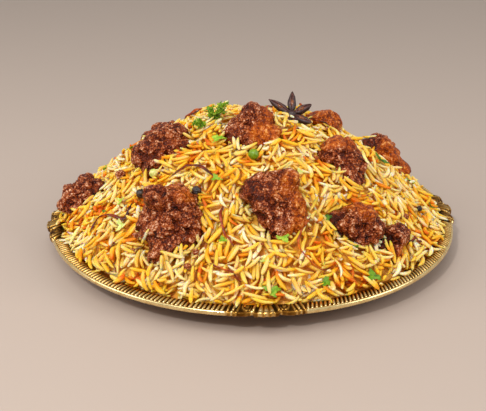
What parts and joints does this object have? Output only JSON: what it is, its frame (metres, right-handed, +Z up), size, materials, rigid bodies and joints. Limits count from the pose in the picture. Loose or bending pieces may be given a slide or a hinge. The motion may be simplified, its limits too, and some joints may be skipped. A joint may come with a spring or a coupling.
{
  "type": "plate of mutton biryani",
  "caption": "Round brass tray with a beaded, ribbed rim and cast ornaments, heaped with saffron rice, chunks of braised mutton and a star anise.",
  "frame": {"origin": "bottom centre of the tray, on the surface that it stands on", "axes": "+Z up; -Y towards the front, the side with the large chunks low on the heap; +X to the right seen from the front"},
  "size_m": [0.2896, 0.2896, 0.1002],
  "materials": {
    "brass": "cast and polished, darkened in the grooves",
    "rice": "cooked long-grain rice, cream to saffron yellow and orange",
    "mutton": "braised meat with a crumbly, oily masala crust",
    "star_anise": "dry woody pod"
  },
  "bodies": {
    "root": {"tray": "brass", "rice": "rice", "star_anise": "star_anise", "mutton_left": "mutton", "mutton_upper_left": "mutton", "mutton_front_left": "mutton", "mutton_top": "mutton", "mutton_centre": "mutton", "mutton_upper_right": "mutton", "mutton_back_right": "mutton", "mutton_top_right": "mutton", "mutton_front_right": "mutton", "mutton_edge_right": "mutton", "mutton_behind_left": "mutton", "mutton_behind": "mutton", "mutton_behind_right": "mutton"}
  },
  "joints": []
}
